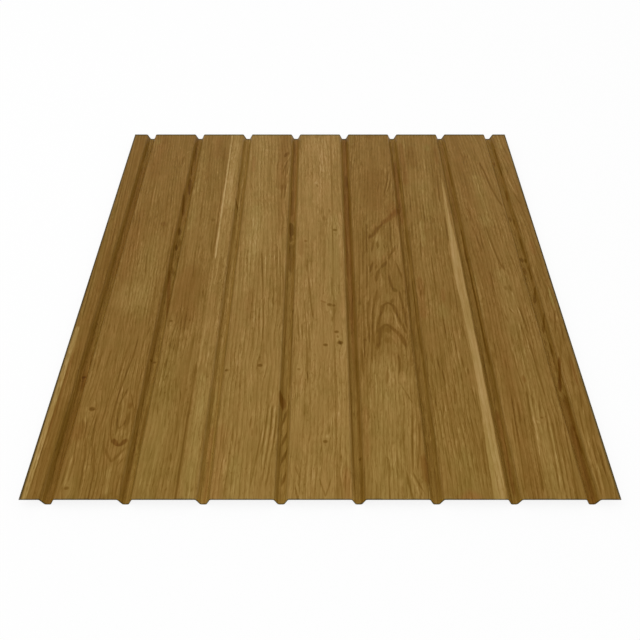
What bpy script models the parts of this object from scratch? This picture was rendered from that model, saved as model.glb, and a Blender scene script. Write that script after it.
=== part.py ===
"""Profiled steel wall panel, one roll-formed sheet.

A flat coil of prepainted steel is rolled into wide flat bands with narrow trapezoid grooves
between them, and cut square to length. The sheet lies on the floors of its grooves, with its
printed face up. X runs across the sheet, Y along its grooves, and Z is up.
"""

import math

import bmesh
import bpy

# Driving dimensions, in metres
COVER_WIDTH = 1.000  # between the centre lines of the two outer grooves, which nest in the laps
GROOVE_COUNT = 8
EDGE_MARGIN = 0.050  # from the centre line of an outer groove to the slit edge
GROOVE_DEPTH = 0.015  # from a band down to a groove's floor, face to like face
GROOVE_MOUTH = 0.026  # between the bend lines where a groove leaves the bands
GROOVE_FLOOR = 0.011  # between the bend lines at the bottom of a groove
SHEET_LENGTH = 1.270
STEEL_THICKNESS = 0.0005
BEND_RADIUS = 0.004  # inside radius of every bend
BEND_STEPS = 6  # facets that make up one bend

SHEET_NAME = "profiled_sheet"
COLLECTION_NAME = "steel_wall_panel"
PRINT_COLOUR = (0.245, 0.138, 0.037, 1.0)  # golden oak, linear
PRINT_ROUGHNESS = 0.45
COAT_METALLIC = 0.0

# Sizes that follow from them
GROOVE_PITCH = COVER_WIDTH / (GROOVE_COUNT - 1)
WALL_RUN = (GROOVE_MOUTH - GROOVE_FLOOR) / 2
WALL_ANGLE = math.atan2(GROOVE_DEPTH, WALL_RUN)
MIDDLE_RADIUS = BEND_RADIUS + STEEL_THICKNESS / 2
BEND_SETBACK = MIDDLE_RADIUS * math.tan(WALL_ANGLE / 2)  # from a bend line to where its arc begins
FLOOR_LEVEL = STEEL_THICKNESS / 2  # the middle of the steel, with its underside at Z = 0
BAND_LEVEL = FLOOR_LEVEL + GROOVE_DEPTH
HALF_WIDTH = COVER_WIDTH / 2 + EDGE_MARGIN


def clear_scene():
    for old in list(bpy.data.objects):
        bpy.data.objects.remove(old, do_unlink=True)


def groove_section(centre):
    """The four bend lines of one groove, from its left lip to its right lip."""
    return [
        (centre - GROOVE_MOUTH / 2, BAND_LEVEL),
        (centre - GROOVE_FLOOR / 2, FLOOR_LEVEL),
        (centre + GROOVE_FLOOR / 2, FLOOR_LEVEL),
        (centre + GROOVE_MOUTH / 2, BAND_LEVEL),
    ]


def sheet_section():
    """The middle line of the steel across the sheet, with sharp bends, as (x, z) points."""
    points = [(-HALF_WIDTH, BAND_LEVEL)]
    for index in range(GROOVE_COUNT):
        points += groove_section(-COVER_WIDTH / 2 + index * GROOVE_PITCH)
    points.append((HALF_WIDTH, BAND_LEVEL))
    return points


def swept_surface(points):
    """The section as an open surface, swept along Y for the length of the sheet."""
    surface = bmesh.new()
    row = [surface.verts.new((x, -SHEET_LENGTH / 2, z)) for x, z in points]
    edges = [surface.edges.new(pair) for pair in zip(row, row[1:])]
    swept = bmesh.ops.extrude_edge_only(surface, edges=edges)["geom"]
    far_row = [item for item in swept if isinstance(item, bmesh.types.BMVert)]
    bmesh.ops.translate(surface, verts=far_row, vec=(0, SHEET_LENGTH, 0))
    bmesh.ops.recalc_face_normals(surface, faces=surface.faces)
    if surface.faces[0].normal.z < 0:
        bmesh.ops.reverse_faces(surface, faces=surface.faces)
    mesh = bpy.data.meshes.new(SHEET_NAME)
    surface.to_mesh(mesh)
    surface.free()
    return mesh


def roll_bends(sheet):
    """Rounds every bend line to the rollers' radius."""
    bends = sheet.modifiers.new("roll_bends", "BEVEL")
    bends.limit_method = "ANGLE"
    bends.angle_limit = WALL_ANGLE / 2
    bends.offset_type = "OFFSET"
    bends.width = BEND_SETBACK
    bends.segments = BEND_STEPS
    bends.profile = 0.5


def give_thickness(sheet):
    """Turns the surface into steel, half of the thickness to each side."""
    steel = sheet.modifiers.new("steel_thickness", "SOLIDIFY")
    steel.thickness = STEEL_THICKNESS
    steel.offset = 0
    steel.use_even_offset = True
    steel.use_quality_normals = True


def oak_print():
    """The prepainted face: a satin golden oak print."""
    material = bpy.data.materials.new("oak_print")
    material.use_nodes = True
    coat = material.node_tree.nodes["Principled BSDF"]
    coat.inputs["Base Color"].default_value = PRINT_COLOUR
    coat.inputs["Roughness"].default_value = PRINT_ROUGHNESS
    coat.inputs["Metallic"].default_value = COAT_METALLIC
    material.diffuse_color = PRINT_COLOUR
    return material


def build_sheet(collection):
    sheet = bpy.data.objects.new(SHEET_NAME, swept_surface(sheet_section()))
    collection.objects.link(sheet)
    sheet.data.shade_smooth()
    sheet.data.materials.append(oak_print())
    roll_bends(sheet)
    give_thickness(sheet)
    return sheet


def main():
    clear_scene()
    collection = bpy.data.collections.new(COLLECTION_NAME)
    bpy.context.scene.collection.children.link(collection)
    build_sheet(collection)


main()
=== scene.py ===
"""Looks of the profiled steel wall panel.

The sheet is one finely rolled shell with the section of the CAD solid. Its face carries a golden oak
print, its back a plain service coat, and its cut edges are bare steel. Lengths are in metres, except
in the print, which is laid out in millimetres as it is seen from above, from the sheet's far left
corner.
"""

import bisect
import math
from dataclasses import dataclass

import bmesh
import bpy
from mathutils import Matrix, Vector


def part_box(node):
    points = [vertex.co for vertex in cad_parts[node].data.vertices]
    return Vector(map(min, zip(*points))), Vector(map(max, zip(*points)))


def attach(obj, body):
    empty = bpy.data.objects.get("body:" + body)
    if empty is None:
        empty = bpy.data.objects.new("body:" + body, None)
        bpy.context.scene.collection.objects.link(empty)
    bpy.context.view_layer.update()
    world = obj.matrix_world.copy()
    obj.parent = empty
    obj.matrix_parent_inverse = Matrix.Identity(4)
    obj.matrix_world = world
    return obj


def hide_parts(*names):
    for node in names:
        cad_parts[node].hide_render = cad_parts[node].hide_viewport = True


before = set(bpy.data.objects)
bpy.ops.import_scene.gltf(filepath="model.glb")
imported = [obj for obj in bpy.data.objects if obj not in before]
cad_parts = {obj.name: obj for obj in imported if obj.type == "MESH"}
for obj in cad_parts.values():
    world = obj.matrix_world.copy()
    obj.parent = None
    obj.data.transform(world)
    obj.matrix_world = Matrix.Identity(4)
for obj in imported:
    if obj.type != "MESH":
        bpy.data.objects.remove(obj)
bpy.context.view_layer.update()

SHEET_NODE = "profiled_sheet"

# The rolled section, with the sizes of the CAD source
GROOVE_COUNT = 8
COVER_WIDTH = 1.000  # between the centre lines of the outer grooves
GROOVE_DEPTH = 0.015
GROOVE_MOUTH = 0.026  # between the bend lines at the bands
GROOVE_FLOOR = 0.011  # between the bend lines at the bottom
STEEL_THICKNESS = 0.0005
BEND_RADIUS = 0.004  # inside
BEND_STEPS = 10
LONGEST_STEP = 0.016  # across a flat, between two columns of points
ROW_STEPS = 40  # along the sheet

WALL_RUN = (GROOVE_MOUTH - GROOVE_FLOOR) / 2
WALL_ANGLE = math.atan2(GROOVE_DEPTH, WALL_RUN)
MIDDLE_RADIUS = BEND_RADIUS + STEEL_THICKNESS / 2
BEND_SETBACK = MIDDLE_RADIUS * math.tan(WALL_ANGLE / 2)
GROOVE_PITCH = COVER_WIDTH / (GROOVE_COUNT - 1)
HALF_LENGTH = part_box(SHEET_NODE)[1][1]
HALF_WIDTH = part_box(SHEET_NODE)[1][0]
BAND_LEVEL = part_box(SHEET_NODE)[1][2] - STEEL_THICKNESS / 2

# The camera, fitted to the outline in the photograph
PHOTO_FOCAL = 794.5  # pixels
PHOTO_SIDE = 640
SENSOR = 36.0
CAMERA_PLACE = (0.0, -1.4524, 1.2563)
CAMERA_DIP = math.radians(43.874)  # below the horizon


@dataclass
class Station:
    """A point on the middle line of the steel, which runs from the left edge to the right one."""

    x: float
    z: float
    heading: float
    run: float  # along the flat strip


def rolled_section():
    stations = [Station(-HALF_WIDTH, BAND_LEVEL, 0.0, 0.0)]

    def step(chord, turn, run):
        last = stations[-1]
        way = last.heading + turn / 2
        x = last.x + chord * math.cos(way)
        z = last.z + chord * math.sin(way)
        stations.append(Station(x, z, last.heading + turn, last.run + run))

    def flat(length):
        count = math.ceil(length / LONGEST_STEP)
        for _ in range(count):
            step(length / count, 0.0, length / count)

    def bend(angle):
        turn = angle / BEND_STEPS
        for _ in range(BEND_STEPS):
            step(2 * MIDDLE_RADIUS * math.sin(abs(turn) / 2), turn, MIDDLE_RADIUS * abs(turn))

    margin = HALF_WIDTH - COVER_WIDTH / 2 - GROOVE_MOUTH / 2 - BEND_SETBACK
    wall = math.hypot(WALL_RUN, GROOVE_DEPTH) - 2 * BEND_SETBACK
    floor = GROOVE_FLOOR - 2 * BEND_SETBACK
    band = GROOVE_PITCH - GROOVE_MOUTH - 2 * BEND_SETBACK
    flat(margin)
    for groove in range(GROOVE_COUNT):
        bend(-WALL_ANGLE)
        flat(wall)
        bend(WALL_ANGLE)
        flat(floor)
        bend(WALL_ANGLE)
        flat(wall)
        bend(-WALL_ANGLE)
        flat(margin if groove == GROOVE_COUNT - 1 else band)
    return stations


SECTION = rolled_section()
STRIP_WIDTH = SECTION[-1].run


def strip_place(plan):
    """Where a place across the sheet, in mm from its left edge as seen from above, is on the flat strip."""
    x = plan / 1000 - HALF_WIDTH
    after = bisect.bisect_left([station.x for station in SECTION], x)
    after = min(max(after, 1), len(SECTION) - 1)
    before, here = SECTION[after - 1], SECTION[after]
    share = (x - before.x) / (here.x - before.x)
    return 1000 * (before.run + share * (here.run - before.run))


# Node arithmetic


class Field:
    """A number that varies over a surface, worked out by shader nodes and written as arithmetic."""

    def __init__(self, tree, socket):
        self.tree = tree
        self.socket = socket

    def by(self, operation, *others):
        node = self.tree.nodes.new("ShaderNodeMath")
        node.operation = operation
        for socket, value in zip(node.inputs, (self, *others)):
            plug(self.tree, socket, value)
        return Field(self.tree, node.outputs["Value"])

    def __add__(self, other):
        return self.by("ADD", other)

    __radd__ = __add__

    def __sub__(self, other):
        return self.by("SUBTRACT", other)

    def __rsub__(self, other):
        return self * -1.0 + other

    def __mul__(self, other):
        return self.by("MULTIPLY", other)

    __rmul__ = __mul__

    def __truediv__(self, other):
        return self.by("DIVIDE", other)

    def __pow__(self, other):
        return self.by("POWER", other)

    def __rpow__(self, base):
        return (self * math.log(base)).by("EXPONENT")

    def __abs__(self):
        return self.by("ABSOLUTE")

    def times(self, factor, plus):
        return self.by("MULTIPLY_ADD", factor, plus)

    def least(self, other):
        return self.by("MINIMUM", other)

    def most(self, other):
        return self.by("MAXIMUM", other)

    def hypot(self, other):
        return (self * self + other * other) ** 0.5

    def clamped(self):
        node = self.tree.nodes.new("ShaderNodeClamp")
        plug(self.tree, node.inputs["Value"], self)
        return Field(self.tree, node.outputs["Result"])

    def fade(self, start, end):
        """From 0 to 1, softly, as the field goes from start to end."""
        node = self.tree.nodes.new("ShaderNodeMapRange")
        node.interpolation_type = "SMOOTHSTEP"
        node.clamp = False
        plug(self.tree, node.inputs["Value"], self)
        plug(self.tree, node.inputs["From Min"], start)
        plug(self.tree, node.inputs["From Max"], end)
        return Field(self.tree, node.outputs["Result"])


def plug(tree, socket, value):
    if isinstance(value, Field):
        tree.links.new(value.socket, socket)
    else:
        socket.default_value = value


def noise(x, y, seed, detail=1.0):
    """Smooth noise between about -1 and 1, with features about one unit of x and y in size."""
    tree = x.tree
    place = tree.nodes.new("ShaderNodeCombineXYZ")
    plug(tree, place.inputs["X"], x)
    plug(tree, place.inputs["Y"], y)
    plug(tree, place.inputs["Z"], seed)
    node = tree.nodes.new("ShaderNodeTexNoise")
    node.inputs["Scale"].default_value = 1.0
    node.inputs["Detail"].default_value = detail
    tree.links.new(place.outputs["Vector"], node.inputs["Vector"])
    return Field(tree, node.outputs["Fac"]) * 2.0 - 1.0


def shades(value, stops):
    """A colour for each value from 0 to 1, from (value, colour) stops."""
    node = value.tree.nodes.new("ShaderNodeValToRGB")
    plug(value.tree, node.inputs["Fac"], value)
    elements = node.color_ramp.elements
    while len(elements) < len(stops):
        elements.new(1.0)
    for element, (place, colour) in zip(elements, stops):
        element.position = place
        element.color = (*colour, 1.0)
    return Field(value.tree, node.outputs["Color"])


def blend(share, colour, other, mode="MIX"):
    """A colour that goes over to the other one, or to their product, by the given share."""
    node = share.tree.nodes.new("ShaderNodeMix")
    node.data_type = "RGBA"
    node.blend_type = mode
    node.clamp_factor = False
    plug(share.tree, node.inputs["Factor"], share)
    for name, value in (("A_Color", colour), ("B_Color", other)):
        socket = next(item for item in node.inputs if item.identifier == name)
        plug(share.tree, socket, value if isinstance(value, Field) else (*value, 1.0))
    result = next(item for item in node.outputs if item.identifier == "Result_Color")
    return Field(share.tree, result)


def bump(height, distance):
    node = height.tree.nodes.new("ShaderNodeBump")
    node.inputs["Distance"].default_value = distance
    plug(height.tree, node.inputs["Height"], height)
    return Field(height.tree, node.outputs["Normal"])


def new_material(name):
    """A material, its Principled shader, and the place on the flat strip in mm, across and along."""
    material = bpy.data.materials.new(name)
    material.use_nodes = True
    tree = material.node_tree
    shader = tree.nodes["Principled BSDF"]
    strip = tree.nodes.new("ShaderNodeUVMap")
    strip.uv_map = STRIP_MAP
    parts = tree.nodes.new("ShaderNodeSeparateXYZ")
    tree.links.new(strip.outputs["UV"], parts.inputs["Vector"])
    across = Field(tree, parts.outputs["X"]) * 1000.0
    along = Field(tree, parts.outputs["Y"]) * 1000.0
    return material, shader, across, along


# The oak print

STRIP_MAP = "strip"
CURVE_UNIT = 100.0  # mm across for one unit of a curve node
CURVE_ROOM = 3.0  # mm that a curve node goes on beyond either end of its streak
LONGEST_TAPER = 22.0  # mm, at either end of a streak
APEX_START = 2.0  # mm that the line of an arch begins before its apex
SOFTEST_LINE = 4.0  # a mark with a softer edge than this is a patch, and the others are lines
DARK_LINES = 1.15  # a strength for lines, which are no wider than a pixel or two and so are seen blurred
PALE_LINES = 0.8
MARK_REACH = 12.0  # mm beyond its own outline that a mark may still bear on the print


@dataclass
class Stave:
    """One board in the print. Its pith is the heart of the tree that its rings go round."""

    seam: float  # its right edge, as seen from above
    tone: float  # in doublings of its brightness
    red: float
    pith: float  # across, from the stave's own middle
    depth: float  # of the pith below the face at the far end
    ring: float  # between two growth rings
    figure: float  # how strongly the rings show
    lean: float  # of the grain to the right, for each mm along
    bow: float  # mm that the grain bends back to the left at both ends


STAVES = [
    Stave(192, -0.13, 0.15, 260, 80, 7.0, 0.32, 0.05, 6),
    Stave(290, -0.08, 0.0, -200, 60, 8.0, 0.28, 0.02, 8),
    Stave(338, 0.13, 0.0, 300, 60, 8.0, 0.24, 0.0, 0),
    Stave(478, 0.13, 0.0, 250, 80, 9.0, 0.32, 0.02, 14),
    Stave(622, 0.20, 0.1, -260, 60, 9.0, 0.24, 0.0, 12),
    Stave(765, -0.12, 0.12, 190, 60, 7.5, 0.28, -0.05, 0),
    Stave(905, -0.07, 0.0, -300, 90, 8.0, 0.34, -0.02, -9),
    Stave(1100, -0.06, 0.1, 240, 90, 8.0, 0.32, 0.0, 18),
]
# The tone across one growth ring, from its pale early wood to the dark line that ends it
RING_PROFILE = [(0.0, 0.5), (0.15, 0.4), (0.55, 0.05), (0.8, -0.5), (0.93, -1.0), (1.0, 0.5)]


@dataclass
class Streak:
    """A line, streak or patch of darker or lighter wood, from its far end to its near end. Those in the
    grooves also carry painted light and shade.
    """

    tone: float  # in doublings of brightness, below 0 darker
    width: float
    path: list  # (across, along) as seen from above
    soft: float = 1.5  # how wide its edge is
    red: float = 0.0  # above 0 redder, below 0 more olive
    legs: tuple = ()  # for an arch or an eye, how far its two legs are from the path at each place
    swell: tuple = ()  # its share of the width at each place, where it isn't just tapered

    def is_line(self):
        return self.soft <= SOFTEST_LINE

    def strength(self):
        if not self.is_line():
            return 1.0
        return DARK_LINES if self.tone < 0 else PALE_LINES

    def span(self):
        """How far to the left and to the right it goes."""
        out = self.width / 2 + self.soft + max(self.legs, default=0)
        xs = [x for x, _ in self.path]
        return min(xs) - out, max(xs) + out


def strokes(width, *marks, soft=1.5, red=0.0):
    """Streaks that differ in tone and path alone. Each mark is its tone, and then x, y, x, y and so on."""
    return [Streak(tone, width, list(zip(path[::2], path[1::2])), soft, red) for tone, *path in marks]


# The marks of each region
LEFT_MARGIN = [
    *strokes(
        2.5, (-0.25, 3, 60, 14, 400), (-0.25, 9, -40, 24, 330), (-0.2, 18, -40, 33, 300),
        (-0.25, 2, 430, 13, 800), (-0.2, 10, 350, 22, 700), (-0.2, 24, 400, 32, 720),
        (-0.3, 14, 920, 15, 1100, 14, 1300),
    ),
    Streak(-0.15, 18, [(27, -60), (28, 600), (27, 1330)], 8, 0.2),
    Streak(-0.05, 12, [(10, 300), (10, 500), (10, 800)], 5, -0.6),
    Streak(0.72, 10, [(9, 810), (9, 950), (9, 1150), (9, 1330)], 3, -0.3),
    Streak(-0.2, 5, [(18, 890), (18, 1000), (17, 1130)], 3, 0.7),
    Streak(0.14, 14, [(46, -60), (46, 300), (46, 650)], 5),
    Streak(-0.15, 5, [(38, 580), (38, 900), (38, 1330)], 3),
    Streak(-0.18, 24, [(50, 150), (50, 640)], 8, 0.4),
    Streak(0.16, 9, [(53, 600), (53, 750), (53, 900)], 5, -0.3),
    Streak(0.2, 3, [(61, -60), (61, 400), (61, 800)]),
    Streak(-0.1, 32, [(52, 870), (54, 1000), (54, 1330)], 12, 0.4),
    Streak(-0.2, 28, [(54, 935), (54, 1005)], 10, 0.5),
    Streak(-0.18, 20, [(60, 1000), (62, 1150), (62, 1330)], 8, 0.3),
    Streak(-0.07, 50, [(18, -60), (18, 600), (18, 1330)], 14),
]
BAND_1 = [
    Streak(-0.08, 60, [(92, -90), (88, 120), (84, 260)], 28, 0.4),
    Streak(-0.10, 44, [(80, 370), (78, 520), (80, 680)], 20, 0.4),
    Streak(0.1, 30, [(76, 10), (76, 40), (76, 70)], 14, -0.8),
    *strokes(
        3, (-0.35, 77, 145, 82, 175), (-0.3, 99, 190, 106, 225), (0.3, 100, 240, 107, 430),
        (0.24, 109, 265, 114, 410), (-0.28, 96, 230, 102, 440), (0.32, 140, 60, 146, 85),
        (-0.3, 136, 90, 141, 130, 147, 165), (0.26, 141, 100, 146, 140), (0.34, 160, 102, 157, 128),
        (0.3, 166, 140, 164, 185, 168, 230), (-0.3, 154, 140, 150, 175), (0.26, 165, 230, 172, 260),
        (-0.26, 83, 440, 96, 590), (0.26, 88, 460, 100, 590), (-0.3, 96, 500, 100, 560, 108, 620),
        (0.3, 102, 500, 108, 560, 116, 620), (-0.3, 122, 545, 132, 640), (-0.26, 146, 470, 152, 570),
        (-0.3, 172, 440, 176, 560, 170, 640), (-0.24, 100, 640, 108, 740), (-0.24, 125, 640, 134, 700),
        (-0.32, 160, 640, 166, 720, 170, 800), (-0.3, 131, 745, 137, 762), (-0.25, 147, 746, 153, 784),
        (-0.26, 88, 800, 96, 850), (-0.26, 108, 800, 116, 850), (-0.26, 126, 810, 130, 850),
        (-0.35, 172, 810, 168, 850), (-0.28, 164, 852, 163, 900), (-0.28, 177, 860, 176, 920),
        (-0.3, 80, 880, 78, 960), (0.26, 84, 890, 83, 940), (-0.26, 98, 880, 94, 960),
        (-0.26, 112, 900, 118, 1020, 114, 1120), (0.24, 117, 900, 122, 1020, 119, 1110),
        (-0.28, 132, 870, 128, 960, 121, 1050, 124, 1130), (0.22, 136, 880, 132, 960, 127, 1050),
        (-0.5, 150, 846, 148, 900, 140, 980, 135, 1060, 138, 1110, 147, 1150),
        (0.2, 152, 900, 146, 960, 141, 1020, 139, 1070),
        (-0.38, 156, 990, 149, 1020, 143, 1050, 145, 1080, 153, 1100),
        (-0.36, 158, 1004, 166, 1030, 174, 1060, 175, 1095), (-0.3, 178, 1170, 164, 1200),
        (-0.3, 176, 930, 173, 1000, 178, 1060, 179, 1120),
        (-0.28, 126, 1090, 132, 1150, 142, 1200, 150, 1290),
        (-0.28, 137, 1120, 142, 1170, 150, 1230, 156, 1290), (-0.3, 176, 1205, 172, 1290),
        (-0.3, 72, 1110, 84, 1200), (-0.32, 82, 1170, 81, 1240), (-0.32, 70, 1165, 71, 1250),
        (-0.35, 103, 1060, 106, 1120, 117, 1190), (0.25, 96, 1110, 104, 1180, 112, 1260),
        (-0.3, 92, 1120, 100, 1180, 106, 1260), (-0.3, 112, 1130, 122, 1200, 128, 1290),
    ),
    *strokes(
        2.5, (-0.3, 117, 310, 124, 390), (0.3, 121, 310, 127, 385), (-0.28, 140, 300, 145, 400),
        (-0.28, 150, 300, 156, 380), (0.24, 154, 300, 158, 380), (-0.25, 84, 765, 88, 800),
    ),
    *strokes(4, (0.4, 176, 88, 164, 104), (0.45, 77, 1165, 76, 1250), soft=2),
    Streak(-0.34, 3.5, [(163, 108), (160, 140), (157, 170)]),
    Streak(0.3, 4, [(165, 430), (167, 560)]),
    Streak(-0.2, 22, [(145, 425), (148, 455)], 8, 0.5),
    Streak(0.12, 80, [(135, 460), (140, 640), (140, 820)], 36, -0.5),
    Streak(0.2, 100, [(110, 640), (110, 710), (110, 790)], 38, -0.2),
    Streak(0.35, 5, [(168, 846), (168, 924)], 2, 0.3),
    Streak(0.24, 10, [(154, 1010), (152, 1050), (155, 1094)], 5),
    Streak(-0.45, 12, [(166, 1034), (165, 1060)], 5, 0.4),
    Streak(-0.4, 12, [(167, 1058), (166, 1110)], 5),
    Streak(-0.3, 4, [(153, 1078), (154, 1096), (153, 1106)], 3, 0.0, (9, 6, 0)),
    Streak(0.2, 22, [(162, 1105), (162, 1128)], 8),
    Streak(-0.6, 11, [(160, 1128), (160, 1142), (160, 1148)], 4, 0.7, (13, 7, 0)),
    Streak(-0.32, 6, [(155, 1144), (154, 1162), (153, 1186)], 4, 0.0, (24, 15, 0)),
    Streak(0.3, 5, [(174, 1154), (162, 1190)], 3),
    Streak(0.26, 20, [(153, 1190), (154, 1230), (156, 1270)], 8, -0.2),
    Streak(-0.15, 44, [(80, 1075), (78, 1110), (76, 1145)], 18, 0.5),
    Streak(0.3, 12, [(80, 1040), (82, 1068), (84, 1100)], 6),
    Streak(-0.05, 40, [(92, 1200), (95, 1240), (97, 1330)], 16, -0.5),
]
# Painted light: paler strokes down the middle of the grooves, standing in for the light on the groove
# floors
PAINTED_GROOVE_LIGHT = [
    *strokes(
        28, (0.16, 193, -60, 193, 600, 193, 1330), (0.14, 336, -60, 336, 600, 336, 1330),
        (0.04, 479, -60, 479, 600, 479, 1330), (0.18, 764, -60, 764, 600, 764, 1330),
        (0.13, 907, -60, 907, 600, 907, 1330), (0.13, 1050, -60, 1050, 600, 1050, 1330), soft=5,
    ),
]
# Partly the print's own marks, partly painted shade: dark streaks in the groove that stand in for the shade
# there
GROOVE_2 = [
    Streak(-0.1, 22, [(192, -30), (192, 100), (193, 430)], 6, 0.3),
    Streak(-0.3, 5, [(186, 40), (190, 130)], 3),
    *strokes(
        6, (-0.4, 184, 145, 190, 205), (-0.4, 195, 385, 200, 425),
        (-0.25, 186, 1090, 187, 1180, 187, 1290), soft=3,
    ),
    Streak(-0.45, 10, [(187, 205), (195, 295)], 4, 0.2),
    Streak(-0.35, 3, [(187, 230), (200, 330)]),
    Streak(0.2, 4, [(192, 250), (200, 330)], 3),
    Streak(-0.45, 10, [(181, 295), (188, 392)], 4, 0.3),
    Streak(-0.7, 9, [(186, 432), (188, 475)], 4),
    Streak(0.25, 8, [(199, 458), (199, 484)], 4),
    Streak(-0.4, 18, [(192, 478), (194, 518)], 6),
    Streak(-0.75, 8, [(187, 502), (189, 536)], 3.5),
    Streak(0.15, 6, [(197, 510), (198, 544)], 3, 0.5),
    Streak(-0.25, 10, [(197, 545), (199, 585)], 4, 0.4),
    Streak(-0.35, 7, [(187, 588), (195, 630)], 3),
    Streak(-0.45, 8, [(184, 605), (190, 670), (198, 740), (201, 790)], 3, 0.9),
    Streak(-0.3, 4, [(187, 790), (187, 900), (187, 1000)], 2),
    Streak(-0.35, 5, [(196, 1025), (196, 1155)], 2),
]
BAND_2 = [
    Streak(0.1, 30, [(215, 75), (217, 280), (215, 475)], 14, -0.3),
    Streak(0.3, 6, [(207, 268), (207, 332)], 2),
    Streak(-0.1, 40, [(255, 0), (255, 60), (255, 150)], 18, 0.6),
    *strokes(
        3, (-0.26, 233, 40, 238, 260), (0.2, 228, 60, 232, 240), (-0.26, 258, 170, 264, 330),
        (-0.24, 210, 250, 222, 360), (-0.3, 274, 60, 279, 200), (-0.24, 236, 270, 240, 430),
        (-0.24, 272, 330, 276, 400), (-0.3, 214, 520, 220, 640), (0.22, 235, 500, 240, 600),
        (-0.28, 240, 540, 247, 660), (-0.28, 258, 520, 262, 600), (-0.3, 277, 500, 281, 570),
        (-0.35, 284, 280, 285, 430, 286, 600), (-0.35, 221, 862, 224, 890), (-0.35, 232, 866, 233, 900),
        (-0.35, 222, 905, 221, 950), (0.3, 218, 960, 216, 1010), (-0.35, 223, 990, 221, 1034),
        (-0.4, 220, 1036, 225, 1078), (-0.35, 248, 960, 251, 1010), (-0.35, 262, 1000, 266, 1040),
        (-0.3, 245, 1050, 248, 1090), (-0.35, 272, 1110, 275, 1170), (-0.3, 228, 1150, 216, 1230),
        (0.3, 224, 1170, 214, 1250), (0.24, 240, 1090, 244, 1150), (-0.3, 309, 560, 309, 700, 309, 790),
    ),
    Streak(-0.3, 10, [(273, 412), (273, 432)], 4),
    *strokes(
        4, (0.3, 279, 400, 283, 445), (-0.3, 276, 690, 280, 730), (0.34, 237, 740, 238, 785),
        (0.3, 310, 880, 308, 960), (-0.35, 263, 1160, 266, 1190), soft=2,
    ),
    Streak(-0.2, 90, [(240, 575), (242, 700), (240, 850)], 36, 0.45),
    Streak(0.25, 5, [(205, 650), (207, 740)], 3),
    Streak(0.9, 4.5, [(288, -60), (290, 100), (291, 250), (292, 480), (293, 585)]),
    Streak(0.3, 6, [(297, 790), (294, 870), (290, 950)], 3),
    Streak(-0.45, 3.5, [(286, 920), (286, 1030), (285, 1150), (286, 1330)], 2),
    Streak(-0.2, 12, [(270, 830), (268, 980), (266, 1130)], 6),
    Streak(0.06, 64, [(228, 860), (230, 1050), (230, 1330)], 24, -0.4),
    Streak(0.12, 30, [(305, 950), (307, 1120), (307, 1330)], 10, -0.4),
    *strokes(26, (0.28, 304, -90, 304, 180, 304, 380), (0.1, 304, 300, 304, 480, 304, 600), soft=7),
    Streak(-0.8, 8, [(320, 320), (326, 336), (332, 364)], 2.5),
]
BAND_3 = [
    *strokes(16, (0.04, 334, -60, 334, 300, 334, 700), (0.14, 334, 560, 335, 900, 336, 1330), soft=5),
    Streak(-0.2, 2.5, [(338, -60), (338, 600), (338, 1330)]),
    Streak(-0.1, 14, [(334, 1080), (336, 1190), (338, 1330)], 6, 0.9),
    Streak(0.1, 60, [(378, -90), (380, 300), (375, 720)], 30, -0.2),
    Streak(0.14, 80, [(390, 330), (390, 460), (390, 600)], 36, -0.2),
    Streak(-0.1, 16, [(361, 110), (362, 160), (363, 210)], 8, 0.8),
    *strokes(
        3, (0.3, 386, 70, 388, 100), (-0.22, 371, 60, 372, 240), (-0.22, 409, 120, 411, 290),
        (0.3, 350, 230, 356, 275), (-0.26, 360, 250, 366, 290), (-0.22, 383, 330, 389, 370),
        (0.3, 395, 325, 396, 360), (-0.26, 371, 410, 377, 480, 379, 560), (0.26, 377, 400, 381, 480),
        (-0.26, 372, 560, 375, 620, 382, 700), (0.36, 466, 92, 460, 128, 451, 152, 445, 205),
        (-0.36, 463, 128, 453, 165, 445, 215), (0.4, 467, 140, 462, 190, 456, 240),
        (-0.4, 461, 160, 458, 225), (0.3, 453, 190, 447, 260), (0.45, 462, 245, 459, 300, 457, 350),
        (-0.4, 457, 255, 453, 335), (-0.3, 449, 250, 445, 340), (-0.25, 430, 140, 431, 290),
        (-0.45, 404, 545, 410, 610, 420, 760, 425, 870), (0.28, 416, 560, 424, 760, 428, 840),
        (0.26, 409, 640, 415, 760, 420, 850), (-0.3, 434, 540, 437, 640, 444, 760),
        (0.28, 438, 560, 444, 700), (-0.35, 443, 520, 447, 640, 452, 760), (0.28, 448, 540, 452, 660),
        (-0.35, 450, 540, 455, 640, 458, 760), (-0.3, 461, 600, 464, 730),
        (-0.22, 392, 690, 399, 800, 405, 900), (0.22, 398, 740, 402, 830), (-0.25, 411, 760, 416, 860),
        (-0.22, 427, 860, 428, 930), (-0.22, 448, 820, 450, 900), (-0.28, 377, 860, 379, 910),
        (-0.3, 407, 1010, 410, 1050), (-0.35, 416, 1100, 417, 1130), (0.3, 456, 1000, 452, 1060),
        (0.32, 442, 1030, 440, 1090, 434, 1160), (-0.35, 446, 1035, 442, 1110, 434, 1180),
        (0.3, 450, 1030, 446, 1120, 437, 1230), (-0.38, 455, 1035, 451, 1120, 441, 1240),
        (0.34, 460, 1040, 456, 1130, 446, 1240), (-0.38, 464, 1060, 459, 1150, 449, 1250),
        (0.28, 464, 1110, 456, 1200), (-0.3, 436, 1100, 428, 1180, 420, 1250),
        (-0.3, 424, 1090, 426, 1130), (-0.28, 378, 1090, 380, 1150), (-0.28, 392, 1120, 393, 1180),
        (0.28, 366, 1170, 368, 1210), (-0.28, 362, 1110, 363, 1170),
    ),
    Streak(-0.26, 44, [(446, -60), (447, 130), (446, 300)], 16, 0.5),
    Streak(-0.12, 36, [(450, 250), (450, 350), (450, 500)], 14, 0.3),
    Streak(-0.45, 12, [(459, 92), (448, 128)], 4),
    Streak(-0.12, 30, [(387, 670), (388, 745), (387, 820)], 14, 0.3),
    Streak(-0.45, 4, [(413, 1070), (411, 1110)], 2),
    Streak(-0.1, 40, [(357, 1080), (357, 1190), (357, 1330)], 16, 0.6),
    Streak(-0.02, 40, [(390, 1150), (390, 1210), (390, 1330)], 16, -0.45),
]
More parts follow.
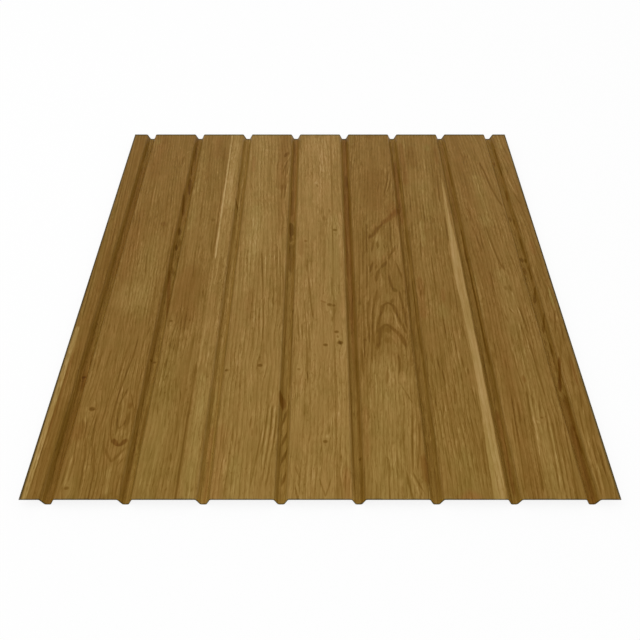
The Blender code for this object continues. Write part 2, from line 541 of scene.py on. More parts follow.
# Partly the print's own marks, partly painted shade: dark streaks in the groove that stand in for the shade
# there
GROOVE_4 = [
    Streak(-0.16, 22, [(479, -60), (479, 200), (479, 420)], 6, 0.7),
    *strokes(9, (-0.25, 475, 20, 475, 142), (-0.3, 475, 262, 475, 395), soft=4),
    Streak(0.2, 5, [(484, 300), (485, 380)], 3),
    Streak(-0.7, 15, [(474, 410), (475, 440), (476, 480)], 4),
    *strokes(12, (-0.4, 476, 470, 476, 500), (0.35, 480, 486, 480, 510), soft=4),
    Streak(-0.35, 20, [(479, 495), (479, 540), (480, 620)], 5),
    Streak(-0.3, 3.5, [(488, 540), (488, 800), (488, 1000)]),
    Streak(-0.7, 26, [(467, 996), (471, 1025), (474, 1054)], 6, 0.9),
    *strokes(
        6, (-0.6, 484, 1040, 473, 1092), (-0.6, 486, 1095, 473, 1145), (-0.6, 487, 1190, 476, 1236),
        soft=3,
    ),
    Streak(-0.65, 7, [(488, 1135), (473, 1185)], 3),
]
BAND_4 = [
    Streak(0.12, 112, [(550, -120), (550, 120), (550, 380)], 36, 0.1),
    Streak(0.06, 50, [(585, 380), (585, 560), (585, 740)], 20, -0.5),
    *strokes(
        3, (-0.4, 527, 194, 528, 222), (-0.25, 508, 272, 508, 300), (0.25, 531, 330, 531, 352),
        (0.25, 551, 395, 551, 432), (0.25, 571, 436, 572, 458), (-0.28, 516, 515, 516, 545),
        (-0.35, 519, 570, 519, 640), (0.25, 523, 585, 524, 640), (-0.3, 527, 560, 530, 620),
        (-0.45, 521, 640, 527, 700, 531, 760, 536, 800), (0.3, 528, 650, 530, 700),
        (-0.35, 512, 720, 519, 800, 522, 880, 524, 985), (0.3, 516, 740, 520, 800, 522, 870),
        (-0.3, 524, 800, 529, 900), (0.3, 529, 810, 532, 895), (-0.3, 498, 750, 504, 860),
        (0.25, 502, 745, 508, 850), (-0.3, 508, 800, 512, 860), (-0.4, 578, 640, 578, 725),
        (0.3, 574, 675, 574, 715), (0.3, 574, 758, 575, 785), (-0.3, 577, 780, 578, 803),
        (-0.4, 523, 945, 524, 990), (0.35, 519, 945, 520, 985), (-0.3, 504, 1008, 503, 1040),
        (0.28, 508, 1010, 505, 1070), (0.28, 576, 1050, 570, 1110), (-0.28, 572, 1080, 565, 1130),
        (-0.3, 554, 1145, 549, 1175), (-0.28, 533, 1100, 527, 1150), (-0.35, 591, 1160, 590, 1196),
        (-0.35, 501, 1190, 511, 1222), (0.3, 505, 1186, 515, 1218), (-0.35, 502, 1230, 513, 1290),
        (0.3, 506, 1228, 518, 1290), (-0.35, 588, 1212, 592, 1290), (-0.3, 598, 1205, 596, 1260),
    ),
    *strokes(2, (-0.32, 548, 132, 547, 250), (0.25, 552, 140, 552, 215)),
    Streak(0.4, 7, [(540, 242), (540, 262)], 3),
    *strokes(
        5, (-0.35, 541, 258, 545, 278), (-0.4, 588, 842, 590, 856), (-0.35, 590, 855, 597, 880), soft=2,
    ),
    *strokes(2.5, (-0.3, 554, 372, 553, 404), (-0.3, 574, 370, 573, 388), (-0.32, 581, 430, 583, 560)),
    Streak(-0.22, 9, [(562, 400), (560, 432)], 4),
    Streak(-0.28, 4, [(570, 465), (582, 465)], 3),
    Streak(-0.4, 8, [(513, 503), (515, 518)], 3, 0.3),
    Streak(-0.2, 18, [(502, 500), (503, 575)], 6, 0.35),
    Streak(0.2, 12, [(602, 380), (602, 600), (602, 800)], 5, 0.4),
    Streak(-0.35, 14, [(551, 728), (566, 744)], 6, 0.3),
    Streak(0.3, 4, [(576, 798), (576, 818)]),
    Streak(-0.22, 18, [(521, 1035), (521, 1058), (521, 1080)], 7, -0.3),
    Streak(0.35, 4, [(564, 1118), (563, 1132)], 2),
    Streak(-0.35, 3, [(560, 1215), (560, 1235), (560, 1262)], 1.5, 0.0, (12, 8, 0)),
    Streak(-0.05, 22, [(600, 1190), (601, 1290)], 9, 0.8),
]
# Partly the print's own marks, partly painted shade: dark streaks in the groove that stand in for the shade
# there
GROOVE_5 = [
    Streak(-0.3, 20, [(622, -60), (622, 235), (622, 700), (622, 1000)], 6, 0.9, (), (0.9, 1, 0.9, 0)),
    Streak(-0.4, 14, [(621, 190), (623, 225), (622, 262)], 5),
    Streak(-0.2, 6, [(616, 280), (616, 480), (616, 640)], 3, 0.4),
    Streak(0.2, 5, [(624, 140), (624, 200)], 3, 0.3),
    Streak(-0.3, 4, [(613, 640), (613, 900), (614, 1250)], 2),
]
BAND_5 = [
    Streak(0.12, 30, [(678, -20), (676, 60), (668, 165)], 12, 0.1),
    Streak(0.1, 20, [(644, -20), (644, 30), (642, 70)], 8, -0.4),
    Streak(0.32, 4, [(656, 60), (649, 110), (641, 168)]),
    *strokes(
        5, (-0.3, 649, 132, 646, 152), (-0.35, 668, 138, 666, 172), (0.35, 703, 466, 694, 495, 689, 525),
        (-0.45, 686, 500, 682, 530, 676, 560), (-0.4, 688, 598, 684, 624), soft=2,
    ),
    *strokes(
        4, (0.3, 660, 140, 657, 175), (0.38, 733, 172, 733, 215), (-0.35, 729, 420, 730, 470, 726, 520),
        (-0.4, 669, 430, 668, 480, 664, 560), (-0.35, 708, 520, 712, 545),
        (-0.45, 733, 585, 742, 632, 745, 660), (0.28, 690, 715, 683, 745, 677, 790, 674, 840),
        (0.3, 712, 756, 718, 778, 723, 805, 731, 835), (-0.45, 662, 725, 658, 790, 658, 870),
        (-0.38, 737, 1060, 730, 1130, 724, 1215), (-0.4, 722, 1200, 730, 1226, 744, 1260),
        (0.22, 718, 1206, 728, 1240, 740, 1280), (-0.4, 712, 1200, 716, 1240, 724, 1290), soft=2,
    ),
    *strokes(
        3, (0.25, 692, 60, 688, 135), (-0.3, 663, 190, 658, 290), (-0.22, 684, 180, 680, 300),
        (-0.3, 737, 70, 733, 130), (-0.3, 727, 170, 726, 220), (0.45, 745, 195, 738, 250, 728, 298),
        (-0.45, 741, 185, 736, 235, 722, 310), (-0.4, 747, 225, 740, 262, 730, 305),
        (0.35, 750, 240, 743, 280, 738, 310), (-0.35, 750, 282, 744, 330), (-0.3, 715, 240, 704, 300),
        (-0.3, 660, 440, 656, 560, 652, 650), (-0.3, 648, 450, 645, 600, 640, 760),
        (-0.4, 664, 590, 662, 650, 658, 700), (0.3, 668, 600, 666, 660, 660, 740),
        (0.4, 658, 705, 653, 790, 653, 860), (-0.35, 667, 800, 664, 860, 661, 940),
        (0.3, 647, 770, 644, 900, 642, 960), (0.22, 667, 950, 665, 1060),
        (-0.3, 716, 985, 730, 1020, 742, 1050), (0.28, 742, 1060, 736, 1120, 728, 1210),
        (-0.35, 748, 1080, 742, 1150, 733, 1210), (-0.3, 721, 1040, 714, 1110, 711, 1150),
        (-0.28, 684, 1050, 681, 1090), (0.22, 654, 1150, 654, 1240), (-0.3, 682, 1180, 676, 1290),
    ),
    Streak(-0.1, 100, [(700, 150), (700, 270), (700, 410)], 40, 0.3),
    Streak(-0.1, 46, [(742, 330), (738, 378), (728, 420)], 16, 0.6),
    Streak(-0.42, 30, [(764, 350), (748, 390), (732, 412), (714, 436), (702, 452)], 10, 0.9),
    Streak(-0.42, 10, [(714, 432), (700, 456), (688, 478), (672, 508)], 4, 0.3),
    Streak(-0.4, 4, [(694, 440), (692, 470)], 2, 0.5),
    *strokes(
        6, (-0.35, 678, 478, 673, 505), (-0.35, 728, 552, 721, 574, 719, 588),
        (0.3, 699, 640, 696, 672, 692, 690), (-0.45, 722, 765, 729, 795, 737, 822, 744, 850),
        (-0.4, 718, 895, 720, 930, 714, 972), soft=3,
    ),
    Streak(0.3, 8, [(690, 430), (684, 470)], 4, 0.5),
    Streak(0.22, 36, [(700, 470), (700, 530), (694, 600)], 12, -0.3),
    Streak(0.12, 24, [(736, 430), (738, 480), (742, 620)], 9),
    *strokes(
        5, (0.3, 749, 440, 747, 560, 745, 640), (-0.4, 686, 685, 678, 725, 672, 765, 668, 830, 668, 880),
        (-0.35, 694, 940, 688, 998), soft=3,
    ),
    Streak(-0.5, 6, [(694, 505), (694, 535), (689, 548)], 2),
    *strokes(
        8, (-0.4, 738, 526, 732, 548, 721, 570), (-0.4, 698, 612, 689, 632, 686, 650, 681, 672), soft=3,
    ),
    Streak(-0.4, 10, [(716, 582), (706, 602), (693, 624)], 4),
    Streak(0.3, 6, [(708, 560), (705, 588)], 3, 0.7),
    Streak(0.3, 6, [(698, 630), (692, 660)], 3, 0.5),
    *strokes(6, (-0.5, 681, 585, 674, 612, 669, 640), (-0.55, 714, 632, 717, 668, 722, 700), soft=2.5),
    Streak(-0.45, 18, [(722, 684), (728, 706)], 5, -0.3),
    *strokes(5, (-0.4, 735, 690, 738, 730, 742, 780, 744, 830), (-0.4, 641, 880, 641, 965), soft=2.5),
    Streak(0.15, 30, [(708, 700), (706, 720), (706, 740)], 10, -0.2),
    Streak(-0.4, 7, [(719, 722), (714, 746)], 4),
    Streak(-0.45, 9, [(706, 739), (706, 747), (707, 762), (706, 790)], 4, 0, (0, 10, 15, 20)),
    Streak(-0.4, 7, [(690, 768), (685, 790), (679, 820), (672, 850)], 3.5),
    Streak(0.2, 26, [(704, 756), (704, 778), (704, 800)], 8),
    Streak(0.15, 26, [(703, 788), (703, 812)], 9, 0.3),
    Streak(-0.4, 10, [(699, 810), (699, 822), (704, 844), (708, 890)], 4, 0.1, (0, 11, 22, 33)),
    Streak(-0.3, 24, [(699, 814), (702, 842)], 8),
    Streak(0.2, 8, [(694, 832), (708, 848), (718, 866)], 4, 0.2),
    Streak(-0.3, 17, [(696, 848), (698, 874)], 6),
    Streak(-0.25, 8, [(676, 866), (674, 896)], 4),
    Streak(0.15, 20, [(712, 866), (712, 884), (712, 904)], 7, -0.4),
    Streak(-0.4, 3.5, [(651, 735), (648, 820), (646, 920)]),
    Streak(-0.3, 12, [(706, 935), (703, 962)], 6),
    Streak(0.2, 20, [(724, 945), (722, 1000)], 7, 0.4),
    Streak(0.06, 16, [(642, 1040), (642, 1115), (642, 1190)], 8, 0.6),
    Streak(0.26, 128, [(692, 880), (692, 1000), (692, 1150), (692, 1450)], 40, -0.3),
]
BAND_6 = [
    Streak(-0.16, 24, [(785, 40), (786, 150), (784, 270)], 10, 0.8),
    *strokes(
        4, (0.4, 797, 18, 796, 50, 792, 90), (-0.45, 876, 180, 873, 260, 869, 350),
        (-0.4, 875, 400, 872, 520), (-0.45, 787, 688, 785, 718), (-0.45, 863, 938, 862, 968), soft=2,
    ),
    *strokes(3.5, (0.28, 852, 30, 848, 120, 843, 200), (-0.35, 787, 420, 781, 520)),
    *strokes(
        3, (-0.28, 857, 60, 852, 150, 846, 230), (-0.28, 806, 80, 802, 150), (0.25, 830, 30, 828, 110),
        (-0.35, 866, 170, 863, 240), (-0.4, 862, 270, 858, 390), (-0.3, 854, 290, 850, 380),
        (0.3, 869, 330, 865, 400), (-0.35, 793, 300, 788, 400), (0.3, 801, 325, 800, 370),
        (0.3, 790, 430, 787, 520), (-0.3, 824, 340, 820, 440), (0.35, 850, 405, 846, 460),
        (-0.35, 844, 400, 840, 450), (-0.3, 857, 450, 852, 540), (0.3, 862, 440, 856, 560),
        (0.32, 836, 500, 830, 560), (-0.3, 842, 480, 836, 570), (0.3, 793, 510, 792, 545),
        (-0.35, 803, 500, 799, 580), (0.32, 806, 550, 804, 590), (-0.35, 823, 560, 822, 650, 821, 720),
        (-0.4, 869, 560, 868, 650), (-0.4, 797, 660, 793, 720), (-0.35, 843, 655, 840, 690),
        (-0.35, 853, 690, 850, 770), (-0.35, 866, 640, 864, 780), (0.3, 858, 735, 857, 790),
        (-0.35, 827, 770, 829, 850), (0.3, 820, 790, 820, 860), (-0.35, 806, 790, 805, 850),
        (-0.38, 866, 800, 868, 860), (-0.4, 846, 862, 845, 905), (-0.38, 833, 840, 832, 920),
        (0.3, 838, 850, 837, 920), (-0.4, 791, 890, 790, 945), (-0.4, 800, 905, 804, 955),
        (0.32, 849, 885, 850, 945), (-0.42, 853, 900, 855, 950), (0.4, 858, 935, 859, 965),
        (-0.4, 832, 930, 832, 1000), (-0.35, 848, 950, 846, 990), (-0.38, 808, 940, 812, 1000),
        (0.3, 815, 950, 812, 1010), (-0.4, 864, 995, 867, 1055), (0.4, 869, 985, 866, 1040),
        (-0.38, 828, 990, 824, 1050), (-0.35, 790, 990, 784, 1060), (0.45, 804, 1046, 800, 1082),
        (-0.42, 800, 1044, 797, 1080), (-0.3, 842, 1040, 838, 1110), (-0.35, 834, 1080, 838, 1130),
        (0.28, 821, 1090, 823, 1125), (-0.35, 791, 1140, 795, 1230), (-0.3, 817, 1130, 816, 1190),
        (-0.3, 852, 1070, 850, 1160), (-0.35, 866, 1120, 862, 1230),
    ),
    Streak(-0.1, 16, [(884, 60), (882, 170)], 7, 0.7),
    Streak(0.05, 26, [(862, 50), (861, 100)], 9, -0.8),
    Streak(-0.12, 40, [(815, 50), (815, 190)], 16, 0.4),
    Streak(0.12, 70, [(830, 210), (830, 330), (830, 440)], 30, -0.3),
    Streak(0.35, 10, [(813, 415), (810, 500), (808, 545)], 4, -0.4),
    Streak(-0.1, 24, [(786, 640), (786, 720), (784, 800)], 9, 0.8),
    Streak(-0.1, 18, [(838, 680), (836, 745)], 8, 0.8),
    Streak(0.12, 50, [(828, 735), (828, 805)], 18, -0.3),
    Streak(0.35, 4, [(859, 820), (856, 868)], 2, 0.3),
    Streak(0.05, 70, [(826, 1140), (826, 1200), (826, 1330)], 24, -0.4),
    Streak(0.0, 80, [(826, 1240), (826, 1330)], 24, 1.6),
]
SAPWOOD = [
    Streak(
        0.74,
        20,
        [
            (885, 205), (885, 300), (883, 370), (883, 440), (883, 550), (882, 640), (884, 750),
            (885, 950), (884, 1060), (882, 1150), (877, 1330),
        ],
        swell=(0, 0.38, 0.45, 0.6, 1.0, 1.12, 0.92, 0.85, 0.98, 1.12, 1.25),
    ),
    *strokes(3, (-0.15, 884, 600, 883, 720, 885, 800), (-0.25, 882, 1205, 880, 1250)),
    Streak(-0.16, 30, [(880, 1080), (878, 1180), (875, 1330)], 10, -0.3),
]
# Partly the print's own marks, partly painted shade: dark streaks in the grooves that stand in for the
# shade there
GROOVES_6_TO_8 = [
    *strokes(3.5, (-0.3, 760, 80, 760, 460), (-0.35, 770, 430, 770, 570)),
    Streak(-0.14, 16, [(765, 120), (765, 260), (765, 430)], 6, 0.9),
    *strokes(
        4, (-0.35, 771, 155, 771, 250), (0.2, 766, 250, 765, 340), (-0.35, 771, 640, 771, 800, 772, 900),
        (-0.3, 768, 1180, 768, 1290), (-0.35, 1058, 480, 1059, 580), soft=2,
    ),
    Streak(-0.4, 24, [(749, 1160), (750, 1200), (752, 1245)], 10, 0.8),
    Streak(-0.15, 12, [(908, 20), (909, 250), (908, 430)], 5, 0.5),
    Streak(-0.4, 4.5, [(916, 120), (915, 200), (915, 260)], 2),
    *strokes(
        5, (-0.45, 914, 440, 914, 700, 915, 935), (-0.35, 913, 520, 913, 590),
        (-0.45, 1059, 60, 1059, 220), soft=2,
    ),
    Streak(0.25, 4, [(920, 630), (920, 800)], 2, -0.3),
    Streak(-0.18, 30, [(1044, 1000), (1044, 1330)], 8, 0.4),
    Streak(-0.3, 14, [(910, 1040), (911, 1150), (910, 1260)], 6, 0.9),
    Streak(-0.4, 3, [(904, 880), (904, 960), (903, 1290)]),
    Streak(-0.4, 6, [(1050, 120), (1048, 155)], 3, 0.6),
    Streak(-0.3, 8, [(1059, 270), (1056, 330)], 4, 0.8),
    Streak(-0.45, 9, [(1048, 385), (1049, 415)], 4),
    Streak(-0.35, 6, [(1057, 395), (1056, 440)], 3),
    Streak(-0.5, 9, [(1048, 555), (1050, 580)], 3.5),
    *strokes(
        7, (-0.5, 1056, 560, 1058, 588), (-0.45, 1048, 590, 1048, 630),
        (-0.55, 1063, 762, 1057, 795, 1050, 832), (-0.4, 1057, 850, 1056, 905), soft=3,
    ),
    *strokes(5, (-0.45, 1059, 590, 1058, 660), (-0.35, 1057, 1100, 1058, 1170), soft=2.5),
    Streak(-0.55, 8, [(1061, 668), (1056, 700), (1049, 735)], 3),
    Streak(-0.7, 8, [(1065, 905), (1060, 940), (1055, 975), (1050, 1005)], 3, 0.9),
    Streak(-0.4, 10, [(1056, 1000), (1057, 1050), (1057, 1110)], 4, 0.5),
    Streak(-0.4, 18, [(1055, 1080), (1055, 1160), (1056, 1330)], 6, 0.7),
]
BAND_7 = [
    Streak(-0.12, 54, [(946, -90), (946, 600), (946, 1360)], 22, 0.3),
    Streak(0.16, 56, [(983, 190), (983, 330), (983, 470)], 26, -0.4),
    Streak(0.12, 50, [(985, 600), (985, 900), (985, 1330)], 22, -0.3),
    *strokes(
        3, (-0.35, 964, 112, 961, 142), (0.28, 945, 50, 941, 95), (-0.25, 998, 60, 994, 140),
        (0.28, 1004, 178, 1006, 220), (-0.25, 970, 225, 966, 300), (0.28, 984, 250, 980, 300),
        (-0.28, 994, 270, 989, 330), (-0.4, 934, 360, 942, 400, 938, 436), (0.4, 934, 392, 937, 430),
        (-0.35, 931, 405, 930, 438), (0.3, 948, 360, 956, 410), (-0.3, 965, 380, 972, 430),
        (-0.35, 940, 440, 946, 500, 952, 560), (0.3, 946, 440, 951, 510), (-0.28, 958, 440, 956, 540),
        (0.3, 972, 450, 976, 530, 981, 570), (0.4, 1026, 420, 1026, 442), (-0.35, 999, 436, 998, 466),
        (-0.3, 1012, 455, 1006, 500), (-0.35, 993, 590, 994, 630), (-0.4, 1019, 560, 1026, 650),
        (0.3, 1023, 600, 1029, 660), (-0.45, 959, 620, 958, 705), (0.35, 963, 640, 962, 715),
        (0.45, 999, 690, 1001, 745, 1006, 800, 1007, 850), (-0.38, 968, 770, 974, 810),
        (0.3, 995, 790, 997, 850), (-0.4, 1000, 800, 1002, 880), (-0.35, 972, 840, 971, 880),
        (-0.35, 984, 850, 983, 910), (0.4, 1005, 850, 1005, 940, 1007, 1010),
        (-0.4, 1009, 860, 1010, 960, 1012, 1030), (0.3, 991, 860, 992, 920),
        (-0.4, 966, 890, 968, 960, 972, 1010), (0.35, 924, 860, 922, 900), (-0.3, 931, 860, 928, 930),
        (-0.35, 947, 910, 945, 960), (-0.42, 942, 1015, 939, 1080, 936, 1140, 929, 1260),
        (0.35, 947, 1015, 944, 1080, 940, 1140), (-0.35, 952, 1030, 949, 1100),
        (-0.35, 934, 1070, 929, 1150), (0.3, 930, 1080, 925, 1170),
        (0.38, 979, 1010, 975, 1100, 970, 1180), (-0.38, 985, 1010, 980, 1060),
        (0.35, 990, 1030, 984, 1060), (-0.35, 998, 1020, 993, 1070),
        (-0.35, 1002, 1060, 999, 1150, 990, 1260), (0.35, 1007, 1060, 1003, 1150, 996, 1240),
        (-0.35, 1012, 1080, 1008, 1160, 1000, 1260), (-0.3, 1022, 1060, 1018, 1150, 1010, 1240),
        (0.28, 1016, 1140, 1010, 1230), (-0.3, 1032, 1110, 1026, 1200, 1018, 1290),
        (0.3, 987, 1180, 982, 1270),
    ),
    *strokes(
        4, (-0.35, 973, 108, 971, 138), (0.3, 941, 320, 939, 360),
        (-0.45, 975, 440, 980, 520, 986, 580, 993, 625), (0.35, 985, 755, 994, 778),
        (-0.38, 980, 750, 990, 780), (-0.45, 975, 1000, 971, 1070, 967, 1150, 961, 1260), soft=2,
    ),
    *strokes(5, (-0.42, 1004, 145, 1003, 176), (0.4, 982, 1082, 985, 1096), soft=2),
    Streak(-0.5, 5, [(1003, 156), (1009, 205), (1014, 255), (1022, 312), (1034, 368)], 3),
    Streak(-0.4, 6, [(987, 676), (986, 700)], 2.5),
    Streak(-0.4, 5, [(997, 672), (998, 705)], 2.5),
    Streak(-0.4, 3.5, [(1004, 745), (1010, 800), (1011, 850)]),
    Streak(-0.3, 12, [(977, 960), (977, 990)], 5, 0.7),
]
RIGHT_MARGIN = [
    Streak(-0.12, 30, [(1085, -60), (1085, 600), (1085, 1330)], 12),
    Streak(0.15, 20, [(1078, 0), (1076, 40), (1074, 90)], 8, -0.5),
    Streak(0.4, 5, [(1064, 200), (1069, 240), (1075, 280), (1082, 320)], 2, 0.3),
    *strokes(
        4, (-0.35, 1071, 290, 1078, 330, 1084, 360), (0.3, 1064, 470, 1062, 520),
        (0.3, 1068, 590, 1064, 640), (-0.35, 1080, 690, 1074, 740), (0.28, 1072, 900, 1068, 960), soft=2,
    ),
    *strokes(
        3, (-0.3, 1075, 180, 1071, 220), (-0.3, 1068, 420, 1066, 520), (-0.35, 1073, 600, 1069, 700),
        (-0.35, 1072, 770, 1066, 815), (0.3, 1075, 760, 1070, 800), (-0.35, 1090, 820, 1080, 890),
        (0.3, 1085, 850, 1076, 910), (-0.35, 1078, 850, 1070, 910), (-0.35, 1086, 900, 1078, 980),
        (-0.35, 1076, 970, 1070, 1040), (0.35, 1080, 980, 1074, 1040), (-0.4, 1086, 1000, 1078, 1070),
        (0.4, 1083, 1040, 1077, 1085), (-0.35, 1072, 1050, 1067, 1130), (-0.35, 1090, 1060, 1083, 1130),
        (0.3, 1076, 1100, 1070, 1160), (-0.35, 1082, 1120, 1074, 1200), (-0.35, 1090, 1150, 1084, 1230),
        (0.3, 1078, 1180, 1071, 1260), (-0.35, 1071, 1190, 1066, 1270),
    ),
    Streak(0.0, 10, [(1086, 90), (1086, 170)], 5, 0.5),
    Streak(0.0, 12, [(1086, 250), (1086, 310)], 6, 0.9),
    Streak(0.0, 22, [(1080, 500), (1080, 575)], 10, 0.8),
    Streak(0.12, 12, [(1088, 680), (1086, 760)], 5, -1.2),
    *strokes(3.5, (-0.4, 1084, 760, 1076, 815, 1070, 850), (0.35, 1088, 770, 1079, 825)),
    Streak(-0.1, 10, [(1086, 910), (1086, 1000)], 5, 1.0),
]
STREAKS = {
    "left_margin": LEFT_MARGIN,
    "band_1": BAND_1,
    "painted_groove_light": PAINTED_GROOVE_LIGHT,
    "groove_2": GROOVE_2,
    "band_2": BAND_2,
    "band_3": BAND_3,
    "groove_4": GROOVE_4,
    "band_4": BAND_4,
    "groove_5": GROOVE_5,
    "band_5": BAND_5,
    "band_6": BAND_6,
    "sapwood": SAPWOOD,
    "grooves_6_to_8": GROOVES_6_TO_8,
    "band_7": BAND_7,
    "right_margin": RIGHT_MARGIN,
}


@dataclass
class Knot:
    """A pin knot, with paler wood round it. The grain flows round it."""

    x: float
    y: float
    size: float
    tone: float

    def span(self):
        return self.x - 4 * self.size, self.x + 4 * self.size


KNOTS = [
    Knot(588, 465, 7.0, -0.7),
    Knot(572, 746, 7.5, -0.75),
    Knot(582, 748, 5.5, -0.6),
    Knot(587, 835, 6.5, -0.8),
    Knot(594, 868, 8, -0.9),
    Knot(562, 875, 6.5, -0.8),
    Knot(505, 947, 4.5, -0.5),
    Knot(561, 1138, 6, -0.65),
    Knot(352, 950, 5.5, -0.6),
    Knot(422, 936, 7, -0.75),
    Knot(90, 1056, 8.5, -0.8),
    Knot(82, 1245, 6, -0.6),
    Knot(993, 1078, 4, -0.5),
    Knot(49, 957, 6, -0.6),
    Knot(185, 912, 5, -0.55),
    Knot(193, 914, 5, -0.55),
    Knot(215, 800, 5, -0.6),
    Knot(628, 1170, 6, -0.6),
    Knot(488, 760, 5, -0.6),
]

KNOT_HALO = 0.05  # the tone round a knot

MEAN_OAK = (0.2385, 0.1322, 0.0285)
# How bright each of its channels is, where red is as bright as the first number says
OAK_SHADES = [
    (0.30, 0.20, 0.04),
    (0.50, 0.39, 0.14),
    (0.75, 0.68, 0.43),
    (1.00, 1.00, 1.00),
    (1.35, 1.47, 1.93),
    (1.80, 2.10, 3.80),
]
BRIGHTEST = 2.0
RED_TINT = (1.03, 0.92, 0.95)
GROOVE_SHADE_TINT = (1.0, 0.97, 0.74)  # painted shade: the colour is deeper and less blue in the grooves, standing in for the shade there
# painted sheen: the print is tinted less blue towards the near end, standing in for the weaker sheen seen
# there
NEAR_END_SHEEN_TINT = (1.01, 0.995, 0.92)
REAR_EDGE_SHADE = 9.0  # mm from a cut edge, over which painted shade darkens the print
SIDE_EDGE_SHADE = 5.5
FRONT_EDGE_SHADE = 3.2
EDGE_SHADE_TINT = (0.33, 0.42, 0.56)


def oak_print(name, left, right):
    """The print on the zone between two places across, which holds only the marks that reach it."""
    material, shader, across, along = new_material(name)
    wander = noise(across / 90.0, along / 260.0, 1.0) * 6.0
    ripple = noise(across / 16.0, along / 50.0, 2.0, 2.0) * 1.8
    tone, red, pith, depth, ring, figure, lean, bow, seed = stave_fields(across, left, right)

    across = across + ripple * 0.5
    along = along + ripple * 0.8
    knots, bend = grouped("knots", across, along, knotted, reaching(KNOTS, left, right))
    streaks, streak_red, sapwood = 0.0, 0.0, 0.0
    for region_name, region in STREAKS.items():
        region = reaching(region, left, right)
        if region:
            tones, reds = grouped(region_name, across, along, painted, region)
            streaks = tones + streaks
            streak_red = reds + streak_red
            sapwood = tones.fade(0.2, 0.45) if region_name == "sapwood" else sapwood
    halves = along / (HALF_LENGTH * 1000) - 1.0
    drift = across + wander + ripple * 0.5 - bend
    drift = drift - lean * (HALF_LENGTH * 1000) * halves + bow * halves * halves

    below = depth + noise(across / 70.0, along / 160.0, seed + 3.0) * 9.0
    radius = (drift - pith).hypot(below)
    phase = radius / ring + noise(drift / 30.0, along / 200.0, seed + 5.0) * 0.7
    rings = curved(phase.by("FRACT"), RING_PROFILE)
    lively = noise(drift / 40.0, along / 130.0, seed + 9.0).fade(-0.5, 0.5) * 0.8 + 0.4

    fibre = noise(drift / 1.7, along / 18.0, seed)
    threads = noise(drift / 2.8, along / 27.0, seed + 1.0)
    lines = noise(drift / 5.0, along / 80.0, seed + 2.0)
    bands = noise(drift / 10.0, along / 150.0, seed + 7.0)
    broad = noise(drift / 22.0, along / 260.0, seed + 8.0)
    mottle = noise(across / 30.0, along / 50.0, seed + 4.0, 2.0)
    dashes = noise(drift / 2.0, along / 9.0, seed + 6.0, 0.0)
    dark_dashes = dashes.fade(0.30, 0.65)
    pale_dashes = dashes.fade(-0.35, -0.7)

    fine = fibre * 0.36 + threads * 0.33 - dark_dashes * 0.36 + pale_dashes * 0.2 + rings * figure
    grain = fine * lively * (1.0 - sapwood * 0.5) + lines * 0.22
    grain = grain + bands * 0.22 + broad * 0.19 + mottle * 0.15
    streaks = streaks * (1.0 + (threads * 0.5 + fibre * 0.3) * (1.0 - sapwood))
    # How near a place is to a cut edge, for the painted shade that darkens the print there
    side = across.least(STRIP_WIDTH * 1000 - across) / SIDE_EDGE_SHADE
    edge = side.least(along / REAR_EDGE_SHADE).least((HALF_LENGTH * 2000 - along) / FRONT_EDGE_SHADE)
    # Painted sheen: towards the near end the print is painted a little brighter, less red and less blue
    near = along.fade(700, 1250)
    total = tone + grain + streaks + knots + near * 0.05

    stops = [
        (share[0] / BRIGHTEST, tuple(mean * part for mean, part in zip(MEAN_OAK, share)))
        for share in OAK_SHADES
    ]
    oak = shades(2.0**total / BRIGHTEST, stops)
    colour = blend(red + streak_red + bands * 0.3 + mottle * 0.6 - near * 0.2, oak, RED_TINT, "MULTIPLY")
    # painted sheen towards the near end
    colour = blend(near, colour, NEAR_END_SHEEN_TINT, "MULTIPLY")
    # painted shade: the colour deepens inside the grooves
    colour = blend(in_groove(across), colour, GROOVE_SHADE_TINT, "MULTIPLY")
    # painted shade: the print darkens towards the cut edges
    colour = blend(edge.fade(1.0, 0.25), colour, EDGE_SHADE_TINT, "MULTIPLY")
    plug(material.node_tree, shader.inputs["Base Color"], colour)
    plug(material.node_tree, shader.inputs["Roughness"], 0.5 + threads * 0.06 + mottle * 0.04)
    plug(material.node_tree, shader.inputs["Normal"], bump(threads * 0.3 + dark_dashes, 0.00002))
    shader.inputs["Specular IOR Level"].default_value = 0.05
    return material


def stave_fields(across, left, right):
    """What the staves between two places across are like, as fields that change at each seam."""
    seams = [0.0] + [strip_place(stave.seam) for stave in STAVES]
    values = []
    for number, stave in enumerate(STAVES):
        if seams[number + 1] < strip_place(left) or seams[number] > strip_place(right):
            continue
        middle = (seams[number] + seams[number + 1]) / 2
        place = middle + stave.pith
        rings = (place, stave.depth, stave.ring, stave.figure)
        look = (stave.tone, stave.red, *rings, stave.lean, stave.bow, number * 7.3)
        values.append((seams[number], look))
    fields = list(values[0][1])
    for (_, old), (seam, new) in zip(values, values[1:]):
        past = across.by("GREATER_THAN", seam)
        fields = [past * (after - before) + field for field, before, after in zip(fields, old, new)]
    return fields


def in_groove(across):
    """1 inside the grooves and 0 on the bands, softly."""
    first = strip_place(1000 * (HALF_WIDTH - COVER_WIDTH / 2))
    last = strip_place(1000 * (HALF_WIDTH + COVER_WIDTH / 2))
    pitch = (last - first) / (GROOVE_COUNT - 1)
    turns = ((across - first) / pitch + 10.5).by("FRACT")
    return (abs(turns - 0.5) * pitch).fade(19.0, 13.0)


def reaching(marks, left, right):
    """The marks that bear on the zone between two places across."""
    left -= MARK_REACH
    right += MARK_REACH
    return [mark for mark in marks if mark.span()[0] < right and mark.span()[1] > left]


